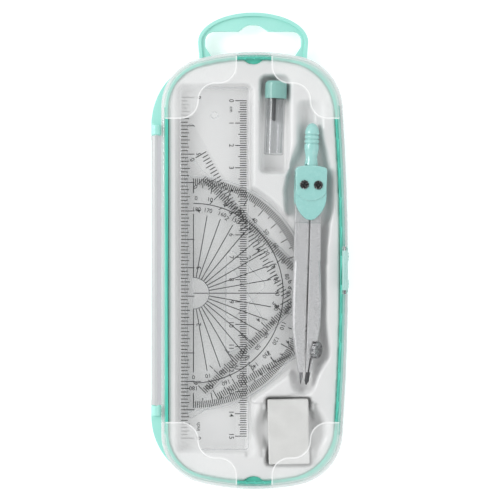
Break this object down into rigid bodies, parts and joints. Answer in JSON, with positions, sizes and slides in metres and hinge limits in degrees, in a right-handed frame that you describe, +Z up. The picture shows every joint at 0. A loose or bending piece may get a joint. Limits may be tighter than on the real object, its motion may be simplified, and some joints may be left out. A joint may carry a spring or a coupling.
{
  "type": "drafting compass set",
  "caption": "Flat hinged pencil-case style box with handle, clear lid and formed tray holding a school compass, set squares, protractor, ruler, lead tube and eraser",
  "frame": {"origin": "centre of the case's flat back, which is the base's underside", "axes": "+Z up out of the lid, +Y along the case towards the handle, +X across the case towards the latch"},
  "size_m": [0.0885, 0.2121, 0.0184],
  "materials": {
    "mint_case": "satin moulded polystyrene, mint",
    "clear_lid": "clear polystyrene with frosted corner fields",
    "clear_acrylic": "polished clear polystyrene",
    "clear_tube": "clear polypropylene",
    "tray_white": "thin formed sheet, pale grey white",
    "mint_gloss": "glossy mint",
    "eraser_white": "matt vinyl",
    "graphite": "graphite",
    "steel": "drawn wire",
    "dark_screw": "oiled steel",
    "bright_screw": "nickel plate",
    "cast_legs": "zinc die casting, silver"
  },
  "bodies": {
    "case": {"case_base": "mint_case"},
    "lid": {"case_lid": "clear_lid", "latch_pin": "steel"},
    "latch": {"latch": "mint_case"},
    "tray": {"tray": "tray_white"},
    "ruler": {"ruler": "clear_acrylic"},
    "protractor": {"protractor": "clear_acrylic"},
    "set_square_45": {"set_square_45": "clear_acrylic"},
    "set_square_60": {"set_square_60": "clear_acrylic"},
    "eraser": {"eraser": "eraser_white"},
    "lead_tube": {"lead_tube": "clear_tube", "spare_lead": "graphite"},
    "tube_cap": {"lead_tube_cap": "mint_gloss"},
    "compass": {"compass_grip": "mint_gloss", "compass_head_front": "mint_gloss", "compass_head_back": "mint_gloss", "pivot_screw_left": "dark_screw", "pivot_screw_right": "dark_screw"},
    "needle_leg": {"needle_leg": "cast_legs", "needle": "steel"},
    "lead_leg": {"lead_leg": "cast_legs", "compass_lead": "graphite"},
    "clamp_screw": {"clamp_screw": "bright_screw"}
  },
  "joints": [
    {"name": "lid_hinge", "type": "hinge", "parent": "case", "child": "lid", "pos_m": [-0.04375, 0, 0.009], "axis": [0, -1, 0], "range_deg": [0, 170]},
    {"name": "latch_flip", "type": "hinge", "parent": "lid", "child": "latch", "pos_m": [0.0402, 0, 0.0137], "axis": [0, -1, 0], "range_deg": [0, 70]},
    {"name": "tray_lift", "type": "slide", "parent": "case", "child": "tray", "axis": [0, 0, 1], "range_m": [0, 0.012]},
    {"name": "ruler_lift", "type": "slide", "parent": "tray", "child": "ruler", "axis": [0, 0, 1], "range_m": [0, 0.042]},
    {"name": "protractor_lift", "type": "slide", "parent": "tray", "child": "protractor", "axis": [0, 0, 1], "range_m": [0, 0.03]},
    {"name": "square_45_lift", "type": "slide", "parent": "tray", "child": "set_square_45", "axis": [0, 0, 1], "range_m": [0, 0.0195]},
    {"name": "square_60_lift", "type": "slide", "parent": "tray", "child": "set_square_60", "axis": [0, 0, 1], "range_m": [0, 0.0105]},
    {"name": "eraser_lift", "type": "slide", "parent": "tray", "child": "eraser", "axis": [0, 0, 1], "range_m": [0, 0.036]},
    {"name": "tube_lift", "type": "slide", "parent": "tray", "child": "lead_tube", "axis": [0, 0, 1], "range_m": [0, 0.06]},
    {"name": "compass_lift", "type": "slide", "parent": "tray", "child": "compass", "axis": [0, 0, 1], "range_m": [0, 0.0895]},
    {"name": "cap_pull", "type": "slide", "parent": "lead_tube", "child": "tube_cap", "axis": [0.0384, 0.9993, 0], "range_m": [0, 0.012]},
    {"name": "needle_leg_swing", "type": "hinge", "parent": "compass", "child": "needle_leg", "pos_m": [0.02201, 0.0381, 0.00947], "axis": [-0.0697, 0.0022, -0.9976], "range_deg": [0, 25.5]},
    {"name": "lead_leg_swing", "type": "hinge", "parent": "compass", "child": "lead_leg", "pos_m": [0.02819, 0.0379, 0.00903], "axis": [0.0697, -0.0022, 0.9976], "range_deg": [0, 25.5]},
    {"name": "clamp_screw_turn", "type": "hinge", "parent": "lead_leg", "child": "clamp_screw", "pos_m": [0.02668, -0.03549, 0.00898], "axis": [0.8475, -0.1265, 0.5155], "continuous": true}
  ],
  "couplings": [
    {"joint": "tray_lift", "follows": "lid_hinge", "m_per_rad": 0.004},
    {"joint": "ruler_lift", "follows": "lid_hinge", "m_per_rad": 0.014},
    {"joint": "protractor_lift", "follows": "lid_hinge", "m_per_rad": 0.01},
    {"joint": "square_45_lift", "follows": "lid_hinge", "m_per_rad": 0.0065},
    {"joint": "square_60_lift", "follows": "lid_hinge", "m_per_rad": 0.0035},
    {"joint": "eraser_lift", "follows": "lid_hinge", "m_per_rad": 0.012},
    {"joint": "tube_lift", "follows": "lid_hinge", "m_per_rad": 0.02},
    {"joint": "compass_lift", "follows": "lid_hinge", "m_per_rad": 0.03},
    {"joint": "cap_pull", "follows": "lid_hinge", "m_per_rad": 0.004},
    {"joint": "needle_leg_swing", "follows": "lid_hinge", "ratio": 0.147},
    {"joint": "lead_leg_swing", "follows": "lid_hinge", "ratio": 0.147}
  ]
}
